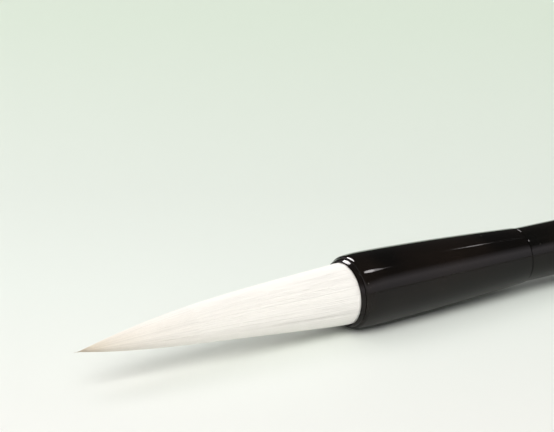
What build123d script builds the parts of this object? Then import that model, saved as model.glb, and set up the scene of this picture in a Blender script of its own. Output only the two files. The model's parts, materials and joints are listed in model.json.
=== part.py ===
from build123d import *
from math import atan, cos, degrees, pi, radians, sin, tan
import os

# East Asian writing brush with a flared, turned ferrule, a straight lacquered barrel
# and a braided hanging loop, lying on a table.  Millimetres, +Z up.  +X runs from the
# tip of the hair to the loop.  The origin is on the table, midway along the brush.
#
# Stations are distances along the brush's own axis, measured from the mouth, where the
# hair is fullest, just before the ring: negative on the hair, positive on the handle.

os.makedirs("parts", exist_ok=True)

# ---- driving dimensions -----------------------------------------------------------
HAIR_LENGTH = 46.5          # hair in front of the mouth
HAIR_RADIUS = 4.7           # hair at the mouth
HAIR_BELLY = 0.4            # share of the outline that swells; the rest is a plain cone
HAIR_ROUNDING = 3.8         # how soon behind the point it swells
HAIR_BUTT = 9.0             # station of the cut butt ends, inside the ferrule
COAT_THICKNESS = 0.85       # outer coat of hair round the core
LIFE_HAIR_LENGTH = 8.5      # the longest hairs, which alone make the point
BEND_STATION = -5.5         # where the hair starts to flex
BEND_BALL_RADIUS = 4.95     # round gap between the held hair and the flexing hair
BEND_BALL_GAP = 0.05

RING_START = 0.3            # crest of the lip
RING_END = 1.0
RING_RADIUS = 5.32
RING_CREST_RADIUS = 4.98
RING_BORE = 4.9
RING_LIP = (0.25, 0.11)     # a point of its outer rounding, back from the front and in from the rim
RING_INNER_LIP = (0.04, 0.03)  # a point of its inner rounding, back from the front and out from the bore
RING_BORE_ROUND = 0.15      # where the inner rounding meets the bore, back from the front
RING_SPIGOT_RADIUS = 5.1
RING_SPIGOT_END = 4.0

FERRULE_START = 1.05
FERRULE_END = 33.4
FERRULE_WIDEST = (4.0, 5.8)  # station and radius
FERRULE_FRONT_RADIUS = 5.3
FERRULE_NOSE = (0.16, 0.2)  # a point of its rounded nose, back and out from the front edge
FERRULE_SHOULDER = (1.6, 5.66)
FERRULE_END_RADIUS = 4.39
FLANK_EXPONENT = 1.45       # 1 would be a straight taper
FLANK_STATIONS = (2.7, FERRULE_WIDEST[0], 10.0, 17.0, 25.0)  # where the flank curve is drawn through
FRONT_BORE = 5.13           # holds the ring's spigot
SOCKET_RADIUS = 4.8
SOCKET_END = 11.0
REAR_SOCKET_START = 16.5

BARREL_RADIUS = 4.25
BARREL_LENGTH = 165.0       # between the two seams
BARREL_BORE = 2.25
SPIGOT_RADIUS = 3.17        # front end, glued into the ferrule
SPIGOT_LENGTH = 16.0
SPIGOT_CHAMFER = 0.3
TAIL_SOCKET_RADIUS = 3.0
TAIL_SOCKET_DEPTH = 9.5

CAP_LENGTH = 4.65
CAP_SPIGOT_LENGTH = 8.5
CAP_CAVITY_RADIUS = 2.15
CAP_WALL = 3.0              # end wall that holds the finial
CAP_EDGE = 0.35
GLUE_LINE = 0.03            # clearance of every glued spigot
SEAM_GAP = 0.02             # between two turned pieces that meet
EDGE_BREAK = 0.05           # at each seam
END_GAP = 0.1               # past the end of a spigot

STEM_RADIUS = 1.75
NECK_RADIUS = 1.5
NECK_LENGTH = 0.9
NECK_FOOT = (1.9, 0.45)     # radius where it meets the cap, and length of its flare
BEAD_RADIUS = 2.39
BEAD_LENGTH = 2.6
BEAD_SHOULDER = 0.35
BORE_EDGE = 0.2
FINIAL_BORE = 1.15

CORD_DIAMETER = 1.5
LEG_DIAMETER = 1.1          # the same cord, squeezed inside the finial's bore
KNOT_RADIUS = 2.0
KNOT_LENGTH = 3.4
CORD_GAP = 0.05             # between the legs and the pieces of cord at their ends

SEAL_RADIUS = 7.5           # gold foil seal, to the tips of its scallops
SCALLOP_DEPTH = 0.6
SCALLOPS = 16
SEAL_THICKNESS = 0.1
CUTTER_MARGIN = 1.0         # how far the shapes that cut the seal reach past it
SEAL_FROM_TAIL = 14.1       # centre of the seal to the end face of the cap
SEAL_ROLL = 55              # degrees round the brush from the top, towards -Y
LOOP_ROLL = 110

THREAD_DIAMETER = 0.42
THREAD_PITCH = 0.48
THREAD_TURNS = 4
WHIPPING_RADIUS = 4.3       # the butt, pulled in under the thread

# ---- places that follow from them --------------------------------------------------
TIP = -HAIR_LENGTH
BARREL_END = FERRULE_END + BARREL_LENGTH
CAP_END = BARREL_END + CAP_LENGTH
NECK_END = CAP_END + NECK_LENGTH
CROWN = NECK_END + BEAD_LENGTH
STEM_START = CAP_END - CAP_WALL

# The brush rests on the ferrule's widest ring and on the edge of its tail cap, so
# its axis falls slightly towards the tail.
REST_SPAN = CAP_END - CAP_EDGE - FERRULE_WIDEST[0]
LEAN = atan((FERRULE_WIDEST[1] - BARREL_RADIUS) / REST_SPAN)
AXIS_DIRECTION = Vector(cos(LEAN), 0, -sin(LEAN))
MOUTH_HEIGHT = FERRULE_WIDEST[1] * cos(LEAN) + FERRULE_WIDEST[0] * sin(LEAN)
MIDDLE = (TIP + CROWN) / 2
MOUTH_CENTRE = Vector(-MIDDLE * cos(LEAN), 0, MOUTH_HEIGHT)

profile_plane = Plane(origin=MOUTH_CENTRE, x_dir=AXIS_DIRECTION, z_dir=(0, -1, 0))
brush_axis = Axis(MOUTH_CENTRE, AXIS_DIRECTION)
roll_axis = Axis((0, 0, 0), AXIS_DIRECTION)


def point_on_axis(station):
    """The point of the brush's axis at a station."""
    return MOUTH_CENTRE + AXIS_DIRECTION * station


def rolled_plane(station, roll):
    """A plane along the brush, its y direction turned from the top towards -Y by roll."""
    normal = Vector(0, -1, 0).rotate(roll_axis, roll)
    return Plane(origin=point_on_axis(station), x_dir=AXIS_DIRECTION, z_dir=normal)


def hair_radius(station):
    """Radius of the wet-pointed tuft at a station outside the mouth."""
    share = min(max((station - TIP) / HAIR_LENGTH, 0.0), 1.0)
    swell = 1 - (1 - share) ** HAIR_ROUNDING
    return HAIR_RADIUS * (HAIR_BELLY * swell + (1 - HAIR_BELLY) * share)


def hair_outline(first, last, steps, inset=0.0):
    """Points of the tuft's outline from one station to another, inset towards the axis."""
    stations = [first + (last - first) * step / steps for step in range(steps + 1)]
    return [(station, hair_radius(station) - inset) for station in stations]


def flank_radius(station):
    """Radius of the ferrule's outside, from its shoulder to its rear end."""
    widest_station, widest_radius = FERRULE_WIDEST
    if station < widest_station:
        share = (widest_station - station) / (widest_station - FERRULE_SHOULDER[0])
        return widest_radius - (widest_radius - FERRULE_SHOULDER[1]) * share**2
    share = (station - widest_station) / (FERRULE_END - widest_station)
    return widest_radius - (widest_radius - FERRULE_END_RADIUS) * share**FLANK_EXPONENT


# ---- mouth ring: a rounded lip round the hair, with a spigot inside the ferrule ---------
with BuildPart() as mouth_ring:
    with BuildSketch(profile_plane):
        with BuildLine():
            Polyline(
                (RING_START + RING_BORE_ROUND, RING_BORE),
                (RING_SPIGOT_END, RING_BORE),
                (RING_SPIGOT_END, RING_SPIGOT_RADIUS),
                (RING_END, RING_SPIGOT_RADIUS),
                (RING_END, RING_RADIUS - EDGE_BREAK),
            )
            ThreePointArc(
                (RING_END, RING_RADIUS - EDGE_BREAK),
                (RING_START + RING_LIP[0], RING_RADIUS - RING_LIP[1]),
                (RING_START, RING_CREST_RADIUS),
            )
            ThreePointArc(
                (RING_START, RING_CREST_RADIUS),
                (RING_START + RING_INNER_LIP[0], RING_BORE + RING_INNER_LIP[1]),
                (RING_START + RING_BORE_ROUND, RING_BORE),
            )
        make_face()
    revolve(axis=brush_axis)
mouth_ring.part.label = "mouth_ring"

# ---- ferrule: a flared, turned body with a socket for the hair and one for the barrel ----
with BuildPart() as ferrule:
    rear_edge = FERRULE_END - EDGE_BREAK
    flank_stations = [FERRULE_SHOULDER[0], *FLANK_STATIONS, rear_edge]
    rear_bore = SPIGOT_RADIUS + GLUE_LINE
    with BuildSketch(profile_plane):
        with BuildLine():
            ThreePointArc(
                (FERRULE_START, FERRULE_FRONT_RADIUS),
                (FERRULE_START + FERRULE_NOSE[0], FERRULE_FRONT_RADIUS + FERRULE_NOSE[1]),
                (FERRULE_SHOULDER[0], flank_radius(FERRULE_SHOULDER[0])),
            )
            Spline(*[(station, flank_radius(station)) for station in flank_stations])
            Polyline(
                (rear_edge, flank_radius(rear_edge)),
                (FERRULE_END, FERRULE_END_RADIUS - EDGE_BREAK),
                (FERRULE_END, rear_bore),
                (REAR_SOCKET_START, rear_bore),
                (REAR_SOCKET_START, 0),
                (SOCKET_END, 0),
                (SOCKET_END, SOCKET_RADIUS),
                (RING_SPIGOT_END + END_GAP, SOCKET_RADIUS),
                (RING_SPIGOT_END + END_GAP, FRONT_BORE),
                (FERRULE_START, FRONT_BORE),
                (FERRULE_START, FERRULE_FRONT_RADIUS),
            )
        make_face()
    revolve(axis=brush_axis)
ferrule.part.label = "ferrule"

# ---- barrel: a tube with a turned-down spigot in front and a socket behind ------------
with BuildPart() as barrel:
    barrel_start = FERRULE_END + SEAM_GAP
    spigot_start = barrel_start - SPIGOT_LENGTH
    tail_socket_start = BARREL_END - TAIL_SOCKET_DEPTH
    with BuildSketch(profile_plane):
        with BuildLine():
            Polyline(
                (spigot_start, BARREL_BORE),
                (spigot_start, SPIGOT_RADIUS - SPIGOT_CHAMFER),
                (spigot_start + SPIGOT_CHAMFER, SPIGOT_RADIUS),
                (barrel_start, SPIGOT_RADIUS),
                (barrel_start, BARREL_RADIUS - EDGE_BREAK),
                (barrel_start + EDGE_BREAK, BARREL_RADIUS),
                (BARREL_END - EDGE_BREAK, BARREL_RADIUS),
                (BARREL_END, BARREL_RADIUS - EDGE_BREAK),
                (BARREL_END, TAIL_SOCKET_RADIUS),
                (tail_socket_start, TAIL_SOCKET_RADIUS),
                (tail_socket_start, BARREL_BORE),
                close=True,
            )
        make_face()
    revolve(axis=brush_axis)
barrel.part.label = "barrel"

# ---- tail cap: closes the barrel, holds the finial and hides the knot -----------------
with BuildPart() as tail_cap:
    cap_start = BARREL_END + SEAM_GAP
    cap_spigot_start = BARREL_END - CAP_SPIGOT_LENGTH
    cap_spigot_radius = TAIL_SOCKET_RADIUS - GLUE_LINE
    stem_hole = STEM_RADIUS + GLUE_LINE
    with BuildSketch(profile_plane):
        with BuildLine():
            Polyline(
                (CAP_END - CAP_EDGE, BARREL_RADIUS),
                (cap_start + EDGE_BREAK, BARREL_RADIUS),
                (cap_start, BARREL_RADIUS - EDGE_BREAK),
                (cap_start, cap_spigot_radius),
                (cap_spigot_start, cap_spigot_radius),
                (cap_spigot_start, CAP_CAVITY_RADIUS),
                (STEM_START, CAP_CAVITY_RADIUS),
                (STEM_START, stem_hole),
                (CAP_END, stem_hole),
                (CAP_END, BARREL_RADIUS - CAP_EDGE),
            )
            RadiusArc((CAP_END, BARREL_RADIUS - CAP_EDGE), (CAP_END - CAP_EDGE, BARREL_RADIUS), CAP_EDGE)
        make_face()
    revolve(axis=brush_axis)
tail_cap.part.label = "tail_cap"

# ---- finial: a turned bead on a short flared neck, bored through for the cord ----------
with BuildPart() as finial:
    bead_middle = NECK_END + BEAD_LENGTH / 2
    shoulder_radius = BEAD_RADIUS - BEAD_SHOULDER
    foot_radius, foot_length = NECK_FOOT
    neck_start = CAP_END + SEAM_GAP
    with BuildSketch(profile_plane):
        with BuildLine():
            Polyline(
                (NECK_END, NECK_RADIUS),
                (CAP_END + foot_length, NECK_RADIUS),
                (neck_start, foot_radius),
                (neck_start, STEM_RADIUS),
                (STEM_START, STEM_RADIUS),
                (STEM_START, FINIAL_BORE),
                (CROWN - BORE_EDGE, FINIAL_BORE),
            )
            RadiusArc((CROWN - BORE_EDGE, FINIAL_BORE), (CROWN, FINIAL_BORE + BORE_EDGE), BORE_EDGE)
            ThreePointArc(
                (CROWN, FINIAL_BORE + BORE_EDGE),
                (CROWN - BEAD_SHOULDER, shoulder_radius),
                (bead_middle, BEAD_RADIUS),
            )
            ThreePointArc(
                (bead_middle, BEAD_RADIUS),
                (NECK_END + BEAD_SHOULDER, shoulder_radius),
                (NECK_END, NECK_RADIUS),
            )
        make_face()
    revolve(axis=brush_axis)
finial.part.label = "finial"

# ---- hanging loop: one braided cord, both ends through the finial ----------------------
# The route is drawn in the loop's own plane: first number outwards from the crown of
# the bead, second number across.  It ends just clear of the bead, where the cord flexes.
LOOP_ROUTE = [
    (0.6, 0.85),
    (1.7, 1.25),
    (3.2, 3.0),
    (4.2, 4.55),
    (6.2, 4.75),
    (7.65, 3.0),
    (7.5, 0.0),
    (6.2, -3.1),
    (4.3, -5.4),
    (2.0, -5.75),
    (0.95, -3.9),
    (1.0, -2.0),
    (0.75, -0.85),
]


def corner_radii(route):
    """The largest arc that each corner's two runs allow."""
    radii = []
    for before, corner, after in zip(route, route[1:], route[2:]):
        run_in = Vector(*corner) - Vector(*before)
        run_out = Vector(*after) - Vector(*corner)
        half_turn = radians(run_in.get_angle(run_out)) / 2
        radii.append(0.45 * min(run_in.length, run_out.length) / tan(half_turn))
    return radii


loop_plane = rolled_plane(CROWN, LOOP_ROLL)
loop_radii = corner_radii(LOOP_ROUTE)
print("loop corner radii:", [round(radius, 2) for radius in loop_radii])

with BuildPart() as hang_loop:
    with BuildLine(loop_plane) as loop_path:
        FilletPolyline(*LOOP_ROUTE, radius=loop_radii)
    with BuildSketch(loop_path.line ^ 0):
        Circle(CORD_DIAMETER / 2)
    sweep(path=loop_path.line)
hang_loop.part.label = "hang_loop"
loop_length = loop_path.wire().length
tube_volume = pi * CORD_DIAMETER**2 / 4 * loop_length
print("loop length:", round(loop_length, 2))
print("loop volume over section times length:", round(hang_loop.part.volume / tube_volume, 4))

# Both legs pass side by side through the finial's bore to the knot.
with BuildPart() as cord_legs:
    with BuildSketch(Plane(origin=loop_plane.origin, x_dir=loop_plane.y_dir, z_dir=-AXIS_DIRECTION)):
        with GridLocations(LEG_DIAMETER + SEAM_GAP, 0, 2, 1):
            Circle(LEG_DIAMETER / 2)
    extrude(amount=CROWN - STEM_START + CORD_GAP)
cord_legs.part.label = "cord_legs"

with BuildPart() as cord_knot:
    knot_face = STEM_START - CORD_GAP
    knot_end = knot_face - KNOT_LENGTH
    with BuildSketch(profile_plane):
        with BuildLine():
            Polyline(
                (knot_end, 0.5 * KNOT_RADIUS),
                (knot_end, 0),
                (knot_face, 0),
                (knot_face, 0.6 * KNOT_RADIUS),
            )
            Spline(
                (knot_face, 0.6 * KNOT_RADIUS),
                (knot_face - 0.18 * KNOT_LENGTH, 0.9 * KNOT_RADIUS),
                (knot_face - 0.5 * KNOT_LENGTH, KNOT_RADIUS),
                (knot_face - 0.82 * KNOT_LENGTH, 0.85 * KNOT_RADIUS),
                (knot_end, 0.5 * KNOT_RADIUS),
            )
        make_face()
    revolve(axis=brush_axis)
cord_knot.part.label = "cord_knot"

# ---- gold foil seal, wrapped round the barrel -------------------------------------------
# Its scalloped outline is drawn as seen from the side: a point that lies an arc length
# away from the middle, round the barrel, is seen at the cosine of that arc.
SEAL_OUTER = BARREL_RADIUS + SEAL_THICKNESS


def seal_point(radius, turn):
    """A point of the flat seal, in polar form, as seen once it is wrapped."""
    arc = radius * sin(radians(turn)) / SEAL_OUTER
    return (radius * cos(radians(turn)), SEAL_OUTER * cos(arc))


with BuildPart() as seal_sticker:
    seal_plane = rolled_plane(CAP_END - SEAL_FROM_TAIL, SEAL_ROLL)
    scallop = 360 / SCALLOPS
    valley_radius = SEAL_RADIUS - SCALLOP_DEPTH
    with BuildSketch(seal_plane):
        with BuildLine():
            for index in range(SCALLOPS // 2):
                ThreePointArc(
                    seal_point(valley_radius, index * scallop),
                    seal_point(SEAL_RADIUS, (index + 0.5) * scallop),
                    seal_point(valley_radius, (index + 1) * scallop),
                )
            Polyline(
                seal_point(valley_radius, 180),
                (-valley_radius, SEAL_OUTER + CUTTER_MARGIN),
                (valley_radius, SEAL_OUTER + CUTTER_MARGIN),
                seal_point(valley_radius, 0),
            )
        make_face()
    extrude(amount=SEAL_OUTER + CUTTER_MARGIN, both=True)
    seal_section = Plane(origin=point_on_axis(CAP_END - SEAL_FROM_TAIL), z_dir=AXIS_DIRECTION)
    with BuildSketch(seal_section):
        Circle(SEAL_OUTER)
        Circle(BARREL_RADIUS, mode=Mode.SUBTRACT)
    extrude(amount=SEAL_RADIUS + CUTTER_MARGIN, both=True, mode=Mode.INTERSECT)
seal_sticker.part.label = "seal_sticker"

# ---- hair held by the ferrule -------------------------------------------------------------
# The held hair ends in a ball and the flexing hair starts in a hollow round the same
# centre, so the tuft can lean without its two halves meeting.
BALL_FRONT = BEND_STATION - BEND_BALL_RADIUS
CORE_RADIUS = HAIR_RADIUS - COAT_THICKNESS
WHIPPING_START = HAIR_BUTT - 2.2
WHIPPED_CORE_RADIUS = WHIPPING_RADIUS - COAT_THICKNESS
JOIN_GAP = 0.03
BEHIND_BEND = 20.0
ball_front_radius = hair_radius(BALL_FRONT)

with BuildSketch() as held_zone:
    with Locations((BEND_STATION, 0)):
        Circle(BEND_BALL_RADIUS)
    with Locations((BEND_STATION + BEHIND_BEND / 2, 0)):
        Rectangle(BEHIND_BEND, BEHIND_BEND)

with BuildSketch() as kept_clear_zone:
    with Locations((BEND_STATION, 0)):
        Circle(BEND_BALL_RADIUS + BEND_BALL_GAP)

with BuildPart() as cover_hair_root:
    with BuildSketch(profile_plane):
        with BuildLine():
            Spline(*hair_outline(BALL_FRONT, 0, 4))
            Line((0, HAIR_RADIUS), (RING_SPIGOT_END, HAIR_RADIUS))
            Polyline(
                (RING_SPIGOT_END, HAIR_RADIUS),
                (WHIPPING_START, WHIPPING_RADIUS),
                (HAIR_BUTT, WHIPPING_RADIUS),
                (HAIR_BUTT, WHIPPED_CORE_RADIUS),
                (WHIPPING_START, WHIPPED_CORE_RADIUS),
                (RING_SPIGOT_END, CORE_RADIUS),
                (0, CORE_RADIUS),
            )
            Spline(*hair_outline(0, BALL_FRONT, 4, inset=COAT_THICKNESS))
            Line((BALL_FRONT, ball_front_radius - COAT_THICKNESS), (BALL_FRONT, ball_front_radius))
        make_face()
        add(held_zone.sketch, mode=Mode.INTERSECT)
    revolve(axis=brush_axis)
cover_hair_root.part.label = "cover_hair_root"

with BuildPart() as core_hair_root:
    with BuildSketch(profile_plane):
        with BuildLine():
            Spline(*hair_outline(BALL_FRONT, 0, 4, inset=COAT_THICKNESS + JOIN_GAP))
            Polyline(
                (0, CORE_RADIUS - JOIN_GAP),
                (RING_SPIGOT_END, CORE_RADIUS - JOIN_GAP),
                (WHIPPING_START, WHIPPED_CORE_RADIUS - JOIN_GAP),
                (HAIR_BUTT, WHIPPED_CORE_RADIUS - JOIN_GAP),
                (HAIR_BUTT, 0),
                (BALL_FRONT, 0),
                (BALL_FRONT, ball_front_radius - COAT_THICKNESS - JOIN_GAP),
            )
        make_face()
        add(held_zone.sketch, mode=Mode.INTERSECT)
    revolve(axis=brush_axis)
core_hair_root.part.label = "core_hair_root"

# ---- flexing hair ---------------------------------------------------------------------------
LIFE_HAIR_START = TIP + LIFE_HAIR_LENGTH

with BuildPart() as cover_hair_tip:
    with BuildSketch(profile_plane):
        with BuildLine():
            Spline(*hair_outline(LIFE_HAIR_START, BEND_STATION, 6))
            Line(
                (BEND_STATION, hair_radius(BEND_STATION)),
                (BEND_STATION, hair_radius(BEND_STATION) - COAT_THICKNESS),
            )
            Spline(*hair_outline(BEND_STATION, LIFE_HAIR_START, 6, inset=COAT_THICKNESS))
            Line(
                (LIFE_HAIR_START, hair_radius(LIFE_HAIR_START) - COAT_THICKNESS),
                (LIFE_HAIR_START, hair_radius(LIFE_HAIR_START)),
            )
        make_face()
        add(kept_clear_zone.sketch, mode=Mode.SUBTRACT)
    revolve(axis=brush_axis)
cover_hair_tip.part.label = "cover_hair_tip"

with BuildPart() as core_hair_tip:
    with BuildSketch(profile_plane):
        with BuildLine():
            Spline(*hair_outline(LIFE_HAIR_START, BEND_STATION, 6, inset=COAT_THICKNESS + JOIN_GAP))
            Polyline(
                (BEND_STATION, hair_radius(BEND_STATION) - COAT_THICKNESS - JOIN_GAP),
                (BEND_STATION, 0),
                (LIFE_HAIR_START, 0),
                (LIFE_HAIR_START, hair_radius(LIFE_HAIR_START) - COAT_THICKNESS - JOIN_GAP),
            )
        make_face()
        add(kept_clear_zone.sketch, mode=Mode.SUBTRACT)
    revolve(axis=brush_axis)
core_hair_tip.part.label = "core_hair_tip"

with BuildPart() as life_hair_tip:
    with BuildSketch(profile_plane):
        with BuildLine():
            Spline(*hair_outline(TIP, LIFE_HAIR_START - JOIN_GAP, 6))
            Polyline(
                (LIFE_HAIR_START - JOIN_GAP, hair_radius(LIFE_HAIR_START - JOIN_GAP)),
                (LIFE_HAIR_START - JOIN_GAP, 0),
                (TIP, 0),
            )
        make_face()
    revolve(axis=brush_axis)
life_hair_tip.part.label = "life_hair_tip"

# ---- whipping thread and resin that lock the butt in the socket --------------------------------
with BuildPart() as binding_thread:
    for turn in range(THREAD_TURNS):
        station = WHIPPING_START + THREAD_DIAMETER + THREAD_PITCH * turn
        with Locations(Plane(origin=point_on_axis(station), z_dir=AXIS_DIRECTION)):
            Torus(WHIPPING_RADIUS + THREAD_DIAMETER / 2 + SEAM_GAP, THREAD_DIAMETER / 2)
binding_thread.part.label = "binding_thread"

with BuildPart() as resin_seal:
    with BuildSketch(Plane(origin=point_on_axis(HAIR_BUTT + SEAM_GAP), z_dir=AXIS_DIRECTION)):
        Circle(SOCKET_RADIUS - GLUE_LINE)
    extrude(amount=SOCKET_END - HAIR_BUTT - 2 * SEAM_GAP)
resin_seal.part.label = "resin_seal"

# ---- check figures and export -------------------------------------------------------------------
pieces = [
    mouth_ring,
    ferrule,
    barrel,
    tail_cap,
    finial,
    hang_loop,
    cord_legs,
    cord_knot,
    seal_sticker,
    cover_hair_root,
    core_hair_root,
    cover_hair_tip,
    core_hair_tip,
    life_hair_tip,
    binding_thread,
    resin_seal,
]
print("lean of the axis, degrees:", round(degrees(LEAN), 3))
print("bend centre:", point_on_axis(BEND_STATION))
print("loop pivot:", loop_plane.origin, "across:", loop_plane.y_dir)
for piece in pieces:
    export_step(piece.part, f"parts/{piece.part.label}.step")
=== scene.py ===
import json
import math
import random

import bmesh
import bpy
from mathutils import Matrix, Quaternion, Vector


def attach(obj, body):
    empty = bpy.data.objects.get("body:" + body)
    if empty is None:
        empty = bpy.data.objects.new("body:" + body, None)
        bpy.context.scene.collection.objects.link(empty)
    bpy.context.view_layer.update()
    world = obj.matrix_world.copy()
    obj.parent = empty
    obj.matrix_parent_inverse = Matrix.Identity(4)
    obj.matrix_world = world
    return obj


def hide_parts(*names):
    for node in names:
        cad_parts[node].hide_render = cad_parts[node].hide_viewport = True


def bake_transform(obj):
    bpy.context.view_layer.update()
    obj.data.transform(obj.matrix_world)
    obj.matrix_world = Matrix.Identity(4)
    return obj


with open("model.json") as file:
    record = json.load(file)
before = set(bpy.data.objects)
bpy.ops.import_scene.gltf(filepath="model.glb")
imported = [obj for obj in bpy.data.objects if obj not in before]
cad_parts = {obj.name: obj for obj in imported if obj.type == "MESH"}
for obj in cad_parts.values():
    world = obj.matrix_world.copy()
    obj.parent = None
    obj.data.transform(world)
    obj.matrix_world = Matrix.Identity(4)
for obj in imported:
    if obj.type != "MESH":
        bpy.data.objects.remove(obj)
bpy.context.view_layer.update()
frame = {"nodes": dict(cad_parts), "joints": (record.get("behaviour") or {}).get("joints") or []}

# A writing brush lying on a pale table: the black ferrule, barrel and finial, the white
# hair, the gold seal, the printed marks and the braided loop.  Metres, in the row frame.
# Stations run along the brush's own axis from the mouth, where the hair comes out.
# The tip is at a negative station, and the tail and loop are at the largest.

MM = 0.001
TURN = 2 * math.pi

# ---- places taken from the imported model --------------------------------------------
JOINTS = {joint["name"]: joint for joint in frame["joints"]}
BEND_CENTRE = Vector(JOINTS["tuft_bend"]["pos_m"])
CROWN_CENTRE = Vector(JOINTS["loop_swing"]["pos_m"])
AXIS = (CROWN_CENTRE - BEND_CENTRE).normalized()
SIDE = Vector((0, 1, 0))
UP = AXIS.cross(SIDE)
BEND_STATION = -5.5 * MM
MOUTH_CENTRE = BEND_CENTRE - AXIS * BEND_STATION
CROWN = (CROWN_CENTRE - MOUTH_CENTRE).length

# ---- sizes, as in the CAD model -----------------------------------------------------
HAIR_LENGTH = 46.5 * MM
HAIR_RADIUS = 4.7 * MM
HAIR_BELLY = 0.4
HAIR_ROUNDING = 3.8
BARREL_RADIUS = 4.25 * MM
FERRULE_START = 1.05 * MM
FERRULE_END = 33.4 * MM
WIDEST_STATION = 4.0 * MM
WIDEST_RADIUS = 5.8 * MM
FERRULE_END_RADIUS = 4.39 * MM
FLANK_EXPONENT = 1.45
SHOULDER_DROP = 0.14 * MM
SHOULDER_LENGTH = 2.4 * MM
BARREL_END = 198.4 * MM
CAP_END = 203.05 * MM
NECK_RADIUS = 1.5 * MM
BEAD_RADIUS = 2.39 * MM
BEAD_LENGTH = 2.6 * MM
FINIAL_BORE = 1.15 * MM
SEAM = 0.22 * MM
CORD_DIAMETER = 1.5 * MM
SEAL_RADIUS = 7.5 * MM
SEAL_THICKNESS = 0.1 * MM
SCALLOP_DEPTH = 0.6 * MM
SEAL_STATION = CAP_END - 14.1 * MM
MARK_ROLL = 55.0
TIP = -HAIR_LENGTH


def on_axis(station):
    """A point of the brush's own axis."""
    return MOUTH_CENTRE + AXIS * station


def around(station, radius, angle):
    """A point round the axis: angle 0 is the top, and it turns towards -Y."""
    return on_axis(station) + UP * (radius * math.cos(angle)) - SIDE * (radius * math.sin(angle))


def smooth(x):
    """An even rise from 0 to 1 that starts and ends level."""
    x = min(max(x, 0.0), 1.0)
    return x * x * (3 - 2 * x)


def arc(centre, radius, first, last, steps):
    """Points of a round stretch of an outline, by angle in degrees."""
    angles = [math.radians(first + (last - first) * step / steps) for step in range(steps + 1)]
    return [(centre[0] + radius * math.cos(a), centre[1] + radius * math.sin(a)) for a in angles]


# ---- material nodes -----------------------------------------------------------------
def map_range(tree, value, low, high, new_low, new_high):
    """The value moved from one range to another, and kept inside it."""
    node = tree.nodes.new("ShaderNodeMapRange")
    for name, number in (("From Min", low), ("From Max", high), ("To Min", new_low), ("To Max", new_high)):
        node.inputs[name].default_value = number
    tree.links.new(value, node.inputs["Value"])
    return node.outputs["Result"]


class Nodes:
    """A material's node tree, with short ways to add and link nodes."""

    def __init__(self, name):
        self.material = bpy.data.materials.new(name)
        self.material.use_nodes = True
        self.tree = self.material.node_tree
        self.shader = self.tree.nodes["Principled BSDF"]
        self.place = self.tree.nodes.new("ShaderNodeTexCoord").outputs["Object"]

    def link(self, source, target):
        self.tree.links.new(source, target)

    def set(self, **values):
        """Sets or links the shader's inputs by name, with _ for a space."""
        for name, value in values.items():
            socket = self.shader.inputs[name.replace("_", " ")]
            if isinstance(value, bpy.types.NodeSocket):
                self.link(value, socket)
            else:
                socket.default_value = (*value, 1.0) if isinstance(value, tuple) else value

    def scaled(self, scale):
        """Object coordinates with its own scale along the brush, across and up."""
        mapping = self.tree.nodes.new("ShaderNodeMapping")
        mapping.inputs["Scale"].default_value = scale
        self.link(self.place, mapping.inputs["Vector"])
        return mapping.outputs["Vector"]

    def noise(self, scale, detail, vector=None, distortion=0.0):
        """Cloudy noise from 0 to 1, in object coordinates if no others are given."""
        node = self.tree.nodes.new("ShaderNodeTexNoise")
        node.inputs["Scale"].default_value = scale
        node.inputs["Detail"].default_value = detail
        node.inputs["Distortion"].default_value = distortion
        self.link(vector or self.place, node.inputs["Vector"])
        return node.outputs["Fac"]

    def cells(self, scale):
        """Distance to the nearest of many scattered points."""
        node = self.tree.nodes.new("ShaderNodeTexVoronoi")
        node.inputs["Scale"].default_value = scale
        self.link(self.place, node.inputs["Vector"])
        return node.outputs["Distance"]

    def attribute(self, name):
        """A number that the mesh carries at each of its points."""
        node = self.tree.nodes.new("ShaderNodeAttribute")
        node.attribute_name = name
        return node.outputs["Fac"]

    def span(self, value, low, high, new_low=0.0, new_high=1.0):
        """The same move as map_range, onto 0 to 1 when nothing else is asked for."""
        return map_range(self.tree, value, low, high, new_low, new_high)

    def math(self, operation, first, second):
        node = self.tree.nodes.new("ShaderNodeMath")
        node.operation = operation
        for socket, value in zip(node.inputs, (first, second)):
            if isinstance(value, bpy.types.NodeSocket):
                self.link(value, socket)
            else:
                socket.default_value = value
        return node.outputs["Value"]

    def ramp(self, value, stops):
        """A colour for each value, from stops of (value, colour)."""
        node = self.tree.nodes.new("ShaderNodeValToRGB")
        points = node.color_ramp.elements
        while len(points) < len(stops):
            points.new(0.5)
        for point, (position, colour) in zip(points, stops):
            point.position = position
            point.color = (*colour, 1.0)
        self.link(value, node.inputs["Fac"])
        return node.outputs["Color"]

    def mix(self, share, first, second, blend="MIX"):
        """The second colour put on the first by a share, in the way that blend says."""
        node = self.tree.nodes.new("ShaderNodeMix")
        node.data_type = "RGBA"
        node.blend_type = blend
        for socket, value in ((node.inputs[0], share), (node.inputs[6], first), (node.inputs[7], second)):
            if isinstance(value, bpy.types.NodeSocket):
                self.link(value, socket)
            else:
                socket.default_value = (*value, 1.0) if isinstance(value, tuple) else value
        return node.outputs[2]

    def bump(self, height, distance, strength, below=None):
        """A surface raised by height times distance, on top of the one below."""
        node = self.tree.nodes.new("ShaderNodeBump")
        node.inputs["Distance"].default_value = distance
        node.inputs["Strength"].default_value = strength
        self.link(height, node.inputs["Height"])
        if below is not None:
            self.link(below, node.inputs["Normal"])
        return node.outputs["Normal"]


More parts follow.
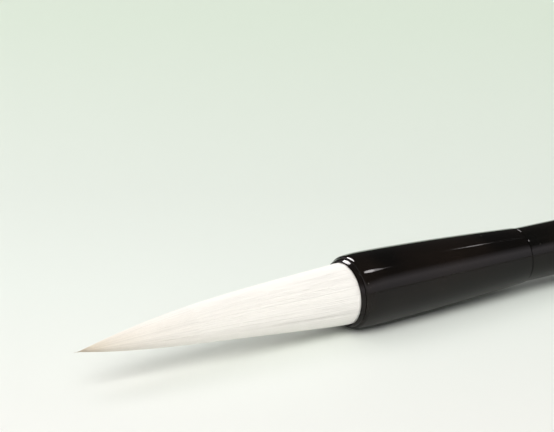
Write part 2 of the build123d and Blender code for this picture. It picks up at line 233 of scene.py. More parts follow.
def lacquer(name, black, haze, scuff):
    """Gloss black: faint brown depth, orange peel, hairline scratches and a little dust."""
    n = Nodes(name)
    depth = n.noise(90, detail=2)
    brown = (0.003, 0.001, 0.0)
    warm = tuple(c * 1.7 + extra for c, extra in zip(black, brown))
    base = n.mix(n.span(depth, 0.35, 0.7), black, warm)
    scratch_a = n.noise(1.0, detail=2, vector=n.scaled((260, 5200, 5200)))
    scratch_b = n.noise(1.0, detail=2, vector=n.scaled((3800, 700, 700)))
    scratches = n.math("MAXIMUM", n.span(scratch_a, 0.70, 0.76), n.span(scratch_b, 0.72, 0.78))
    wear = n.math("MULTIPLY", scratches, n.span(n.noise(150, detail=1), 0.45, 0.75, 0.0, scuff))
    near = n.span(n.cells(850), 0.10, 0.05)
    rare = n.span(n.noise(320, detail=0), 0.62, 0.66)
    dust = n.math("MULTIPLY", near, rare)
    base = n.mix(dust, base, (0.075, 0.07, 0.062))
    smear = n.span(n.noise(60, detail=4, distortion=0.6), 0.4, 0.75, haze, haze + 0.05)
    rough = n.math("ADD", smear, n.math("MULTIPLY", wear, 0.25))
    n.set(Base_Color=base, Roughness=n.math("ADD", rough, n.math("MULTIPLY", dust, 0.5)), IOR=1.5)
    n.set(Specular_IOR_Level=0.21)
    peel = n.noise(420, detail=2)
    fine = n.bump(peel, 0.02 * MM, 0.35)
    n.set(Normal=n.bump(wear, 0.004 * MM, 0.5, below=fine))
    return n.material


def hair_material(name, stops, strand_depth):
    """Hair that is white at the mouth and tan at the point, each strand a little its own."""
    n = Nodes(name)
    along = n.ramp(n.attribute("share"), stops)
    own = n.span(n.attribute("strand"), 0.0, 1.0, 1.0 - strand_depth, 1.0)
    grain = n.noise(1.0, detail=3, vector=n.scaled((140, 9000, 9000)))
    tone = n.math("MULTIPLY", own, n.span(grain, 0.25, 0.7, 0.965, 1.01))
    colour = n.mix(1.0, along, tone, blend="MULTIPLY")
    n.set(Base_Color=colour, Roughness=n.span(grain, 0.3, 0.7, 0.36, 0.55), IOR=1.45)
    n.set(Specular_IOR_Level=0.35, Sheen_Weight=0.15, Sheen_Roughness=0.4)
    n.set(Normal=n.bump(grain, 0.02 * MM, 0.5))
    return n.material


def braid_material():
    """Dark brown braided rayon: fine yarn along each strand and a soft sheen."""
    n = Nodes("braided_cord")
    yarn = n.noise(5200, detail=2)
    own = n.attribute("strand")
    colour = n.mix(n.span(yarn, 0.3, 0.7), (0.006, 0.003, 0.002), (0.042, 0.021, 0.013))
    colour = n.mix(n.span(own, 0.0, 1.0, 0.0, 0.35), colour, (0.030, 0.022, 0.022))
    n.set(Base_Color=colour, Roughness=n.span(yarn, 0.3, 0.7, 0.5, 0.75))
    n.set(Sheen_Weight=0.12, Sheen_Roughness=0.35, Sheen_Tint=(0.55, 0.36, 0.26), Specular_IOR_Level=0.2)
    n.set(Normal=n.bump(yarn, 0.05 * MM, 0.6))
    return n.material


def foil_material():
    """Embossed gold foil paper: pale gold and slightly wrinkled, with painted shade, darker in the wrinkles'
    hollows and at the floors of the embossed dimples.
    """
    n = Nodes("gold_foil")
    crease = n.noise(420, detail=4, distortion=0.8)
    # Painted shade: the gold follows the wrinkle bump, paler on the raised parts and darker in the hollows.
    colour = n.mix(n.span(crease, 0.35, 0.7), (0.62, 0.53, 0.27), (0.83, 0.77, 0.50))
    distance = n.cells(2600)
    # Painted shade: dark spots at the floors of the embossed dimples, where the bump sinks.
    colour = n.mix(n.span(distance, 0.16, 0.05, 0.0, 0.25), colour, (0.42, 0.33, 0.15))
    n.set(Base_Color=colour, Metallic=0.85, Roughness=n.span(crease, 0.3, 0.7, 0.20, 0.36))
    coarse = n.bump(crease, 0.12 * MM, 0.5)
    n.set(Normal=n.bump(distance, 0.01 * MM, 0.4, below=coarse))
    return n.material


def ink_material(name, colour, gloss):
    """Printed ink: slightly uneven film with pinholes and a soft gloss."""
    n = Nodes(name)
    film = n.noise(1500, detail=3)
    thin = tuple(c * 0.72 for c in colour)
    pinhole = n.span(n.cells(4200), 0.12, 0.06, 0.0, 0.5)
    base = n.mix(n.span(film, 0.3, 0.62), thin, colour)
    base = n.mix(pinhole, base, thin)
    n.set(Base_Color=base, Roughness=n.span(film, 0.3, 0.7, gloss, gloss + 0.15), Specular_IOR_Level=0.4)
    n.set(Normal=n.bump(film, 0.01 * MM, 0.5))
    return n.material


def thread_material():
    """Twisted hemp, straw to cream."""
    n = Nodes("hemp_thread")
    fibre = n.noise(3000, detail=3)
    n.set(Base_Color=n.mix(n.span(fibre, 0.3, 0.7), (0.40, 0.31, 0.19), (0.70, 0.60, 0.42)))
    n.set(Roughness=0.85, Normal=n.bump(fibre, 0.05 * MM, 0.7))
    return n.material


def resin_material():
    """Cloudy amber resin."""
    n = Nodes("amber_resin")
    cloud = n.noise(500, detail=3)
    n.set(Base_Color=n.mix(n.span(cloud, 0.3, 0.7), (0.16, 0.06, 0.015), (0.36, 0.17, 0.05)))
    n.set(Roughness=n.span(cloud, 0.3, 0.7, 0.25, 0.5), Normal=n.bump(cloud, 0.04 * MM, 0.5))
    return n.material


# The floor's painted fall-off of light darkens along this direction, away from the main camera.
LIGHT_FALLOFF_DIRECTION = (0.561, 0.828, 0)


def floor_material():
    """Pale green paper with painted light: its colour is nearly white in front of the brush and darker green
    behind it, a painted fall-off of the studio light.
    """
    n = Nodes("pale_table")
    tooth = n.noise(900, detail=3)
    cloud = n.noise(2.2, detail=1)
    away = n.tree.nodes.new("ShaderNodeVectorMath")
    away.operation = "DOT_PRODUCT"
    away.inputs[1].default_value = LIGHT_FALLOFF_DIRECTION
    n.link(n.place, away.inputs[0])
    # Painted light: the paper is brightest in front of the brush and darker behind it, standing in for the
    # studio light falling off away from the front.
    painted_falloff = n.ramp(
        n.span(away.outputs["Value"], -0.14, 0.24),
        [
            (0.14, (0.895, 0.905, 0.866)),
            (0.30, (0.835, 0.885, 0.83)),
            (0.43, (0.776, 0.835, 0.768)),
            (0.72, (0.723, 0.82, 0.70)),
        ],
    )
    tone = n.span(cloud, 0.3, 0.7, 0.985, 1.0)
    n.set(Base_Color=n.mix(1.0, painted_falloff, tone, blend="MULTIPLY"))
    n.set(Roughness=0.62, Specular_IOR_Level=0.25, Normal=n.bump(tooth, 0.01 * MM, 0.3))
    return n.material


# ---- mesh helpers -------------------------------------------------------------------
def add_mesh(name, points, faces, material, values=None, crease=32.0):
    """A mesh object with smooth faces, edges sharp past crease degrees, and a number per point."""
    mesh = bpy.data.meshes.new(name)
    mesh.from_pydata([tuple(p) for p in points], [], faces)
    mesh.materials.append(material)
    for face in mesh.polygons:
        face.use_smooth = True
    for key, numbers in (values or {}).items():
        mesh.attributes.new(key, "FLOAT", "POINT").data.foreach_set("value", numbers)
    mesh.validate()
    mesh.set_sharp_from_angle(angle=math.radians(crease))
    piece = bpy.data.objects.new(name, mesh)
    bpy.context.scene.collection.objects.link(piece)
    return piece


def band_faces(here, there, count):
    """The faces between two closed rows of points, given each row's first point."""
    steps = [(k, (k + 1) % count) for k in range(count)]
    return [(here + k, here + k2, there + k2, there + k) for k, k2 in steps]


def lathe(name, outline, material, segments):
    """A solid of revolution from a closed outline of (station, radius)."""
    points = [around(s, r, TURN * k / segments) for s, r in outline for k in range(segments)]
    count = len(outline)
    faces = []
    for row in range(count):
        faces += band_faces(row * segments, (row + 1) % count * segments, segments)
    return add_mesh(name, points, faces, material)


def flank_radius(station):
    """Radius of the ferrule's outside behind its front shoulder."""
    if station < WIDEST_STATION:
        return WIDEST_RADIUS - SHOULDER_DROP * ((WIDEST_STATION - station) / SHOULDER_LENGTH) ** 2
    share = (station - WIDEST_STATION) / (FERRULE_END - WIDEST_STATION)
    return WIDEST_RADIUS - (WIDEST_RADIUS - FERRULE_END_RADIUS) * share**FLANK_EXPONENT


def hair_share(station):
    """0 at the hair's tip and 1 at the mouth."""
    return min(max((station - TIP) / HAIR_LENGTH, 0.0), 1.0)


def hair_radius(station):
    """Radius of the tuft's outside."""
    share = hair_share(station)
    swell = 1 - (1 - share) ** HAIR_ROUNDING
    return HAIR_RADIUS * (HAIR_BELLY * swell + (1 - HAIR_BELLY) * share)


# ---- turned black pieces --------------------------------------------------------------
moulded_black = lacquer("moulded_black", (0.0042, 0.0037, 0.0034), 0.05, 0.8)
ring_black = lacquer("ring_black", (0.0042, 0.0038, 0.0038), 0.07, 0.6)
barrel_black = lacquer("barrel_black", (0.0040, 0.0038, 0.0034), 0.045, 0.8)
cap_black = lacquer("cap_black", (0.0042, 0.0040, 0.0036), 0.055, 1.0)
finial_black = lacquer("finial_black", (0.0048, 0.0042, 0.0040), 0.14, 1.0)

LATHE_SEGMENTS = 192
EDGE = 0.1


def turned_piece(name, node, material, outline, segments=LATHE_SEGMENTS):
    """A turned piece of the handle, from an outline of (station, radius) in millimetres."""
    piece = lathe(name, [(s * MM, r * MM) for s, r in outline], material, segments)
    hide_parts(node)
    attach(piece, "handle")


def make_mouth_ring():
    """The rounded lip round the hair, and the spigot behind it inside the ferrule."""
    bore, spigot, spigot_end, face = 4.9, 5.1, 4.0, 1.0
    outline = [(spigot_end, bore), (spigot_end, spigot), (face, spigot), (face, 5.27)]
    outline += [(0.985, 5.295), (0.95, 5.315), (0.89, 5.31), (0.76, 5.255), (0.61, 5.183), (0.46, 5.10)]
    outline += [(0.37, 5.035), (0.315, 4.975), (0.315, 4.935), (0.36, 4.908), (0.45, bore)]
    turned_piece("lip_ring", "mouth_ring", ring_black, outline)


def make_ferrule():
    """The flared body: a rounded nose, a long tapering flank, and a socket at each end."""
    nose, end = FERRULE_START / MM, FERRULE_END / MM
    flank, steps, chamfer = (WIDEST_STATION - SHOULDER_LENGTH) / MM, 52, 0.01
    front_bore, hair_socket, socket_floor = 5.13, 4.8, 11.0
    rear_bore, rear_floor, waist_bore = 3.2, 16.5, 2.0
    outline = [(4.1, hair_socket), (4.1, front_bore), (nose, front_bore), (nose, 5.27)]
    outline += [(1.07, 5.34), (1.12, 5.42), (1.2, 5.50), (1.3, 5.57), (1.44, 5.625)]
    for step in range(steps + 1):
        station = flank + (end - chamfer - flank) * (step / steps) ** 1.7
        outline.append((station, flank_radius(station * MM) / MM))
    outline += [(end, 4.375), (end, rear_bore), (rear_floor, rear_bore), (rear_floor, waist_bore)]
    outline += [(socket_floor, waist_bore), (socket_floor, hair_socket)]
    turned_piece("flared_ferrule", "ferrule", moulded_black, outline)


def make_barrel():
    """The straight tube with broken edges, its front spigot and its tail socket."""
    start, end, radius = (FERRULE_END + SEAM) / MM, BARREL_END / MM, BARREL_RADIUS / MM
    bore, spigot, spigot_end, socket, floor = 2.25, 3.17, 17.42, 3.0, end - 9.5
    steps = 24
    outline = [(spigot_end, bore), (spigot_end, spigot - 0.3), (spigot_end + 0.3, spigot)]
    outline += [(start, spigot), (start, radius - EDGE)]
    outline += arc((start + EDGE, radius - EDGE), EDGE, 180, 90, 4)[1:]
    outline.append((start + 3 * EDGE, radius))
    for step in range(1, steps):
        outline.append((start + EDGE + (end - start - 2 * EDGE) * step / steps, radius))
    outline += [(end - 3 * EDGE, radius), (end - EDGE, radius)]
    outline += arc((end - EDGE, radius - EDGE), EDGE, 90, 0, 4)[1:]
    outline += [(end, socket), (floor, socket), (floor, bore)]
    turned_piece("gloss_barrel", "barrel", barrel_black, outline)


def make_tail_cap():
    """The end cap: a spigot in the barrel, a rounded end, a cavity, and the finial's hole."""
    start, end, radius = BARREL_END / MM + 0.02, CAP_END / MM, BARREL_RADIUS / MM
    cavity, spigot, hole, rounding = 2.15, 2.97, 1.78, 0.4
    spigot_end, cavity_end = start - 8.5, end - 3.0
    outline = [(spigot_end, cavity), (spigot_end, spigot), (start, spigot), (start, radius - EDGE)]
    outline += arc((start + EDGE, radius - EDGE), EDGE, 180, 90, 4)[1:]
    outline += [(start + 3 * EDGE, radius), (end - 1.5 * rounding, radius)]
    outline += arc((end - rounding, radius - rounding), rounding, 90, 0, 8)
    outline += [(end - 0.03, 2.6), (end - 0.06, hole), (cavity_end, hole), (cavity_end, cavity)]
    turned_piece("end_cap", "tail_cap", cap_black, outline)


def make_finial():
    """A stem in the cap, a short flared neck, and a bead with a dimpled crown, bored through."""
    base, crown = CAP_END / MM, CROWN / MM
    stem, stem_end = 1.75, base - 3.0
    bore, neck, bead, core = FINIAL_BORE / MM, NECK_RADIUS / MM, BEAD_RADIUS / MM, 0.79
    half = BEAD_LENGTH / MM / 2
    middle = crown - half
    steps = 25
    outline = [(stem_end, bore), (stem_end, stem), (base + 0.02, stem), (base + 0.02, 1.92)]
    outline += [(base + 0.1, 1.93), (base + 0.2, 1.82), (base + 0.34, 1.63), (base + 0.5, 1.52)]
    outline.append((base + 0.72, neck))
    for step in range(1, steps + 1):
        angle = math.radians(-142 + 232 * step / steps)
        station = middle + half * math.sin(angle)
        if math.cos(angle) > 0 and station <= crown - 0.02:
            radius = core + (bead - core) * math.cos(angle) ** 0.62
            outline.append((station, max(radius, neck) if station < middle else radius))
    outline += [(crown, 1.36), (crown - 0.02, 1.24), (crown - 0.12, 1.17), (crown - 0.3, bore)]
    turned_piece("turned_finial", "finial", finial_black, outline, segments=128)


# ---- hair -------------------------------------------------------------------------------
HAIR_STOPS = [
    (0.0, (0.64, 0.55, 0.44)),
    (0.05, (0.85, 0.77, 0.66)),
    (0.12, (0.935, 0.88, 0.80)),
    (0.24, (0.97, 0.93, 0.875)),
    (0.45, (0.985, 0.96, 0.92)),
    (1.0, (0.98, 0.96, 0.93)),
]
BOW = 0.32 * MM
HAIR_TWIST = 0.10


def hair_point(station, radius, angle):
    """A point of the tuft, whose middle bows up a little between mouth and tip."""
    return around(station, radius, angle) + UP * (BOW * math.sin(math.pi * hair_share(station)) ** 1.5)


def strand_mesh(strands, points, faces, values):
    """Adds tapering three-sided strands; each is a list of (station, radius, angle, half width)."""
    for own, path in strands:
        first = len(points)
        for station, radius, angle, half in path:
            turn = half / max(radius, 0.05 * MM)
            points.append(hair_point(station, radius - half * 0.35, angle - turn))
            points.append(hair_point(station, radius + half * 0.75, angle))
            points.append(hair_point(station, radius - half * 0.35, angle + turn))
            values["share"] += [hair_share(station)] * 3
            values["strand"] += [own] * 3
        rows = len(path)
        for row in range(rows - 1):
            faces += band_faces(first + row * 3, first + row * 3 + 3, 3)
        last = first + (rows - 1) * 3
        faces.append((first + 2, first + 1, first))
        faces.append((last, last + 1, last + 2))


def make_strands(name, count, seed, root, end_range, width, material, lift, steps):
    """Strands laid side by side on the tuft's outline, from a root station towards the tip."""
    draw = random.Random(seed)
    fade_from = 0.82
    points, faces, values = [], [], {"share": [], "strand": []}
    strands = []
    for index in range(count):
        angle = TURN * (index + draw.uniform(-0.6, 0.6)) / count
        end_share = end_range[0] + (end_range[1] - end_range[0]) * draw.random() ** 1.6
        start = root + draw.uniform(-0.6, 0.2) * MM
        end = TIP + end_share * HAIR_LENGTH
        own = draw.random()
        sink = draw.uniform(-0.035, 0.02) * MM + lift
        twist = draw.gauss(HAIR_TWIST, 0.05)
        wave = draw.uniform(0.004, 0.02)
        phase = draw.uniform(0, TURN)
        size = width * draw.uniform(0.7, 1.25)
        path = []
        for step in range(steps):
            t = 1 - (1 - step / (steps - 1)) ** 1.25
            station = start + (end - start) * t
            share = hair_share(station)
            gather = (0.25 + 0.75 * share) ** 0.9
            fade = 1.0 if t < fade_from else max(1.0 - ((t - fade_from) / (1 - fade_from)) ** 1.6, 0.06)
            radius = max(hair_radius(station) + sink * gather, 0.02 * MM)
            bend = twist * (1 - share) + wave * math.sin(phase + 7 * share)
            path.append((station, radius, angle + bend, size * gather * fade))
        strands.append((own, path))
    strand_mesh(strands, points, faces, values)
    return add_mesh(name, points, faces, material, values, crease=80)


def make_hair_body():
    """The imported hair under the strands: a closed body with fine lengthwise grooves."""
    draw = random.Random(11)
    segments, rows = 240, 60
    root, top, blunt = 3.5 * MM, 1.2 * MM, 0.25 * MM
    sunk, groove_depth = 0.055 * MM, 0.02 * MM
    groove = [draw.uniform(-1, 1) for _ in range(segments)]
    stations = [root] + [top - (top - TIP) * (k / rows) ** 0.92 for k in range(rows + 1)]
    stations = [s for s in stations if s > TIP + blunt]
    points, faces, values = [], [], {"share": [], "strand": []}
    for station in stations:
        share = hair_share(station)
        for k in range(segments):
            depth = sunk + groove_depth * groove[k] * share
            radius = max(hair_radius(station) - depth * (0.2 + 0.8 * share), 0.01 * MM)
            points.append(hair_point(station, radius, TURN * k / segments + HAIR_TWIST * (1 - share)))
            values["share"].append(share)
            values["strand"].append(0.3 + 0.3 * groove[k])
    for row in range(len(stations) - 1):
        faces += band_faces(row * segments, (row + 1) * segments, segments)
    faces.append(tuple(reversed(range(segments))))
    last = (len(stations) - 1) * segments
    faces.append(tuple(range(last, last + segments)))
    material = hair_material("packed_hair", HAIR_STOPS, 0.10)
    return add_mesh("packed_hair", points, faces, material, values, crease=70)


def make_hair():
    """The outer coat, the long hairs that make the point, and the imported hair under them."""
    coat = make_strands(
        "outer_coat", count=620, seed=3, root=1.6 * MM, end_range=(0.0, 0.34), width=0.052 * MM,
        material=hair_material("white_hair", HAIR_STOPS, 0.06), lift=0.0, steps=24
    )
    point = make_strands(
        "point_hair", count=190, seed=5, root=TIP + 0.42 * HAIR_LENGTH, end_range=(-0.018, 0.025),
        width=0.05 * MM, material=hair_material("point_hair", HAIR_STOPS, 0.16), lift=0.02 * MM, steps=18
    )
    body = make_hair_body()
    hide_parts("cover_hair_root", "cover_hair_tip")
    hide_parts("life_hair_tip")
    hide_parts("core_hair_root", "core_hair_tip")
    for piece in (coat, point, body):
        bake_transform(piece)


# ---- braided hanging loop ------------------------------------------------------------------
# The cord's route in the loop's own plane, in millimetres: the first number is outwards
# from the bead's crown and the second is across.  The part inside the finial's bore comes
# before and after it.
LOOP_ROUTE = [
    (0.6, 0.85),
    (1.7, 1.25),
    (3.2, 3.0),
    (4.2, 4.55),
    (6.2, 4.75),
    (7.65, 3.0),
    (7.5, 0.0),
    (6.2, -3.1),
    (4.3, -5.4),
    (2.0, -5.75),
    (0.95, -3.9),
    (1.0, -2.0),
    (0.75, -0.85),
]
LEG_OFFSET = 0.56
LEG_ROUTE = [(-6.3, LEG_OFFSET), (-3.2, LEG_OFFSET + 0.01), (-0.5, LEG_OFFSET)]
ACROSS = Vector(JOINTS["loop_swing"]["axis"]).normalized()
CARRIERS = 16
BRAID_PITCH = 4.2 * MM
YARN_RADIUS = 0.135 * MM
YARN_WEAVE = 0.055 * MM
BORE_SQUEEZE = 0.30
# The core is this far off its own path, so that it has an outward side.
CORE_OFFSET = 0.001 * MM


def loop_place(point):
    """Where a point of the loop's own plane, in millimetres, lies."""
    return CROWN_CENTRE + AXIS * (point[0] * MM) + ACROSS * (point[1] * MM)


def read_route(route):
    """Points along the smooth line that the route's points control."""
    curve = bpy.data.curves.new("route", "CURVE")
    curve.dimensions = "3D"
    curve.resolution_u = 24
    spline = curve.splines.new("NURBS")
    spline.points.add(len(route) - 1)
    for point, place in zip(spline.points, route):
        point.co = (*place, 1.0)
    spline.order_u = 3
    spline.use_endpoint_u = True
    carrier = bpy.data.objects.new("route", curve)
    line = bpy.data.meshes.new_from_object(carrier)
    points = [v.co.copy() for v in line.vertices]
    bpy.data.meshes.remove(line)
    bpy.data.objects.remove(carrier)
    return points


def even_points(points, spacing):
    """The same line, stepped evenly."""
    lengths = [0.0]
    for a, b in zip(points, points[1:]):
        lengths.append(lengths[-1] + (b - a).length)
    count = max(int(lengths[-1] / spacing), 2)
    found, index = [], 0
    for step in range(count + 1):
        want = lengths[-1] * step / count
        while index < len(lengths) - 2 and lengths[index + 1] < want:
            index += 1
        run = lengths[index + 1] - lengths[index]
        share = (want - lengths[index]) / run if run > 0 else 0.0
        found.append(points[index].lerp(points[index + 1], min(max(share, 0.0), 1.0)))
    return found, lengths[-1]


def cord_frames(points, across):
    """A pair of directions square to the line at each point, carried along without twist."""
    frames = []
    normal = across.copy()
    for index in range(len(points)):
        ahead = points[min(index + 1, len(points) - 1)] - points[max(index - 1, 0)]
        ahead.normalize()
        normal = (normal - ahead * normal.dot(ahead)).normalized()
        frames.append((normal.copy(), ahead.cross(normal)))
    return frames


def cord_scale(place):
    """Share of the cord's full thickness: it is squeezed inside the finial's bore."""
    out = (place - CROWN_CENTRE).dot(AXIS)
    return 1 - BORE_SQUEEZE + BORE_SQUEEZE * smooth((out + 0.2 * MM) / (1.1 * MM))


def make_loop():
    """The loop as sixteen yarns braided round a core, along the line of its route."""
    legs_in = [loop_place(p) for p in LEG_ROUTE]
    legs_out = [loop_place((out, -offset)) for out, offset in reversed(LEG_ROUTE)]
    line = read_route(legs_in + [loop_place(p) for p in LOOP_ROUTE] + legs_out)
    path, length = even_points(line, 0.11 * MM)
    frames = cord_frames(path, AXIS.cross(ACROSS))
    mid_radius = CORD_DIAMETER / 2 - YARN_RADIUS
    points, faces, values = [], [], {"strand": []}
    draw = random.Random(17)

    def tube(centres, thickness, own, count):
        """One yarn, flattened towards the cord's middle, or the core."""
        first = len(points)
        for index, centre in enumerate(centres):
            ahead = (centres[min(index + 1, len(centres) - 1)] - centres[max(index - 1, 0)]).normalized()
            out = centre - path[index]
            out = (out - ahead * out.dot(ahead)).normalized()
            wide = ahead.cross(out)
            scale = thickness * cord_scale(path[index])
            for k in range(count):
                angle = TURN * k / count
                spread = out * (math.cos(angle) * 0.8) + wide * (math.sin(angle) * 1.2)
                points.append(centre + spread * scale)
                values["strand"].append(own)
        for row in range(len(centres) - 1):
            faces.extend(band_faces(first + row * count, first + (row + 1) * count, count))
        faces.append(tuple(reversed(range(first, first + count))))
        last = first + (len(centres) - 1) * count
        faces.append(tuple(range(last, last + count)))

    pairs = CARRIERS // 2
    for carrier in range(CARRIERS):
        way = 1 if carrier % 2 == 0 else -1
        begin = TURN * (carrier // 2) / pairs
        centres = []
        for index, place in enumerate(path):
            gone = TURN * length * index / (len(path) - 1) / BRAID_PITCH
            turn = begin + way * gone
            weave = math.sin(pairs * (gone + begin) + (0 if way > 0 else math.pi))
            radius = (mid_radius + YARN_WEAVE * weave) * cord_scale(place)
            normal, binormal = frames[index]
            centres.append(place + normal * (radius * math.cos(turn)) + binormal * (radius * math.sin(turn)))
        tube(centres, YARN_RADIUS, draw.random(), 6)
    core = [place + normal * CORE_OFFSET for place, (normal, _) in zip(path, frames)]
    tube(core, mid_radius * 0.93, 0.0, 12)
    cord = add_mesh("braided_loop", points, faces, braid_material(), values, crease=80)
    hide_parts("hang_loop", "cord_legs")
    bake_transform(cord)


# ---- seal and printed marks, wrapped round the barrel ---------------------------------------
WELD_DISTANCE = 0.001 * MM
SPLIT_ROUNDS = 6


def wrapped(station, radius, place):
    """Where a flat point (along, round) lands when it is wrapped round the barrel."""
    return around(station + place[0], radius, math.radians(MARK_ROLL) + place[1] / BARREL_RADIUS)


def wrap_cells(name, cells, station, bottom, top, material, longest=0.35 * MM):
    """A thin solid on the barrel made of flat cells, between two heights above its surface."""
    flat = bmesh.new()
    for cell in cells:
        flat.faces.new([flat.verts.new((x, y, 0)) for x, y in cell])
    bmesh.ops.remove_doubles(flat, verts=flat.verts, dist=WELD_DISTANCE)
    bmesh.ops.triangulate(flat, faces=flat.faces)
    for _ in range(SPLIT_ROUNDS):
        long_edges = [edge for edge in flat.edges if edge.calc_length() > longest]
        if not long_edges:
            break
        bmesh.ops.subdivide_edges(flat, edges=long_edges, cuts=1)
        bmesh.ops.triangulate(flat, faces=flat.faces)
    flat.normal_update()
    flat.verts.index_update()
    count = len(flat.verts)
    upper = [wrapped(station, BARREL_RADIUS + top, v.co) for v in flat.verts]
    lower = [wrapped(station, BARREL_RADIUS + bottom, v.co) for v in flat.verts]
    faces = []
    for face in flat.faces:
        ring = [v.index for v in face.verts]
        if face.normal.z < 0:
            ring.reverse()
        faces.append(tuple(ring))
        faces.append(tuple(i + count for i in reversed(ring)))
    for edge in flat.edges:
        if edge.is_boundary:
            face = edge.link_faces[0]
            ring = [v.index for v in face.verts]
            if face.normal.z < 0:
                ring.reverse()
            a, b = edge.verts[0].index, edge.verts[1].index
            if ring[(ring.index(a) + 1) % len(ring)] != b:
                a, b = b, a
            faces.append((b, a, a + count, b + count))
    flat.free()
    return add_mesh(name, upper + lower, faces, material, crease=40)


def polar(radius, angle, centre=(0.0, 0.0)):
    """A flat point at a distance and in a direction from a centre."""
    return (centre[0] + radius * math.cos(angle), centre[1] + radius * math.sin(angle))


def ring_cells(inner, outer, count, centre=(0.0, 0.0)):
    """A thin flat ring."""
    cells = []
    for k in range(count):
        a, b = TURN * k / count, TURN * (k + 1) / count
        corners = ((inner, a), (outer, a), (outer, b), (inner, b))
        cells.append([polar(radius, angle, centre) for radius, angle in corners])
    return cells


def scallop_edge(angle):
    """Radius of the seal's edge, which has sixteen scallops."""
    wave = abs(math.sin(8 * angle))
    return SEAL_RADIUS - SCALLOP_DEPTH * (1 - wave**0.75)


def seal_cells():
    """The whole seal, in rings of cells that narrow to triangles at its middle."""
    count, rows = 160, 10
    cells = []
    for k in range(count):
        a, b = TURN * k / count, TURN * (k + 1) / count
        for row in range(rows):
            low, high = row / rows, (row + 1) / rows
            corners = ((low, a), (high, a), (high, b), (low, b))
            cells.append([polar(scallop_edge(angle) * share, angle) for share, angle in corners])
    return [c if c[0] != c[3] else c[:3] for c in cells]


def band_cells(half, reach):
    """A band across the seal that ends on a circle, with a row of open lozenges along it."""
    windows, pitch, gap = 4, 2.2 * MM, 0.78 * MM
    cells = []
    for k in range(windows):
        middle = (k + 0.5 - windows / 2) * pitch
        corners = [(-half, middle - pitch / 2), (half, middle - pitch / 2),
                   (half, middle + pitch / 2), (-half, middle + pitch / 2)]
        points = [(0.0, middle - gap), (gap, middle), (0.0, middle + gap), (-gap, middle)]
        for i in range(4):
            cells.append([corners[i], corners[(i + 1) % 4], points[i]])
            cells.append([points[i], corners[(i + 1) % 4], points[(i + 1) % 4]])
    edge = windows / 2 * pitch
    columns = 8
    for k in range(columns):
        x0, x1 = half * (2 * k / columns - 1), half * (2 * (k + 1) / columns - 1)
        y0, y1 = math.sqrt(reach**2 - x0**2), math.sqrt(reach**2 - x1**2)
        cells.append([(x0, edge), (x1, edge), (x1, y1), (x0, y0)])
        cells.append([(x0, -y0), (x1, -y1), (x1, -edge), (x0, -edge)])
    return cells


def make_seal():
    """The scalloped gold foil on the barrel, with its red ring and band printed on it."""
    lift, print_top = 0.004 * MM, SEAL_THICKNESS + 0.012 * MM
    foil = wrap_cells(
        "foil_seal", seal_cells(), SEAL_STATION, lift, SEAL_THICKNESS, foil_material(), longest=0.9 * MM
    )
    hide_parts("seal_sticker")
    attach(foil, "handle")
    red = ink_material("seal_red", (0.64, 0.030, 0.008), 0.34)
    inner, outer = 5.55 * MM, 5.90 * MM
    cells = ring_cells(inner, outer, 120) + band_cells(2.2 * MM, inner)
    print_piece = wrap_cells(
        "seal_print", cells, SEAL_STATION, SEAL_THICKNESS - lift, print_top, red, longest=0.6 * MM
    )
    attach(print_piece, "handle")


def petal(centre, length, width, angle):
    """The outline of a leaf or petal that starts at centre."""
    steps = 10
    side_a, side_b = [], []
    for k in range(steps + 1):
        t = k / steps
        half = width / 2 * math.sin(math.pi * t) ** 0.8
        side_a.append((t * length, half))
        side_b.append((t * length, -half))
    outline = side_a + list(reversed(side_b[1:-1]))
    c, s = math.cos(angle), math.sin(angle)
    return [(centre[0] + x * c - y * s, centre[1] + x * s + y * c) for x, y in outline]


def blossom(centre, radius, petals, turn=0.0):
    """A generic flower: petals round a small disc."""
    cells = []
    for k in range(petals):
        angle = turn + TURN * k / petals
        cells.append(petal(polar(0.24 * radius, angle, centre), radius * 0.76, radius * 0.62, angle))
    corners = 20
    cells.append([polar(0.15 * radius, TURN * k / corners, centre) for k in range(corners)])
    return cells


def sprig(centre, length, turn):
    """A generic sprig: a pair of leaves each side of one leaf."""
    cells = [petal(centre, length * 0.62, length * 0.26, turn)]
    for side in (-1, 1):
        for back, long, wide, spread in ((0.10, 0.5, 0.2, 1.05), (0.26, 0.42, 0.17, 1.5)):
            root = polar(-back * length, turn, centre)
            cells.append(petal(root, length * long, length * wide, turn + side * spread))
    return cells


def make_marks():
    """Green blossoms and sprigs behind the seal, then two white blossoms in thin rings."""
    bottom, top = -0.01 * MM, 0.016 * MM
    green = ink_material("green_ink", (0.09, 0.60, 0.20), 0.32)
    white = ink_material("white_ink", (0.90, 0.90, 0.88), 0.35)
    cells = []
    for along, across in ((-26.7, 0.0), (-30.6, 0.0), (-38.1, 0.9), (-43.4, 0.9)):
        cells += blossom((along * MM, across * MM), 1.55 * MM, 5, 0.6)
    for along in (-26.9, -30.4):
        cells += sprig((along * MM, -3.3 * MM), 2.9 * MM, math.pi / 2)
    green_piece = wrap_cells("green_marks", cells, CAP_END, bottom, top, green)
    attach(green_piece, "handle")
    cells = []
    for along, petals in ((-55.5, 8), (-67.7, 6)):
        centre = (along * MM, 0.6 * MM)
        cells += blossom(centre, 2.2 * MM, petals)
        cells += ring_cells(2.42 * MM, 2.58 * MM, 60, centre)
    white_piece = wrap_cells("white_marks", cells, CAP_END, bottom, top, white)
    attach(white_piece, "handle")


# ---- hidden CAD pieces that keep their shape ---------------------------------------------------
def finish_hidden():
    """Gives the knot, the thread and the resin their materials."""
    for node, material in (
        ("cord_knot", bpy.data.materials["braided_cord"]),
        ("binding_thread", thread_material()),
        ("resin_seal", resin_material()),
    ):
        for slot in frame["nodes"][node].material_slots:
            slot.material = material


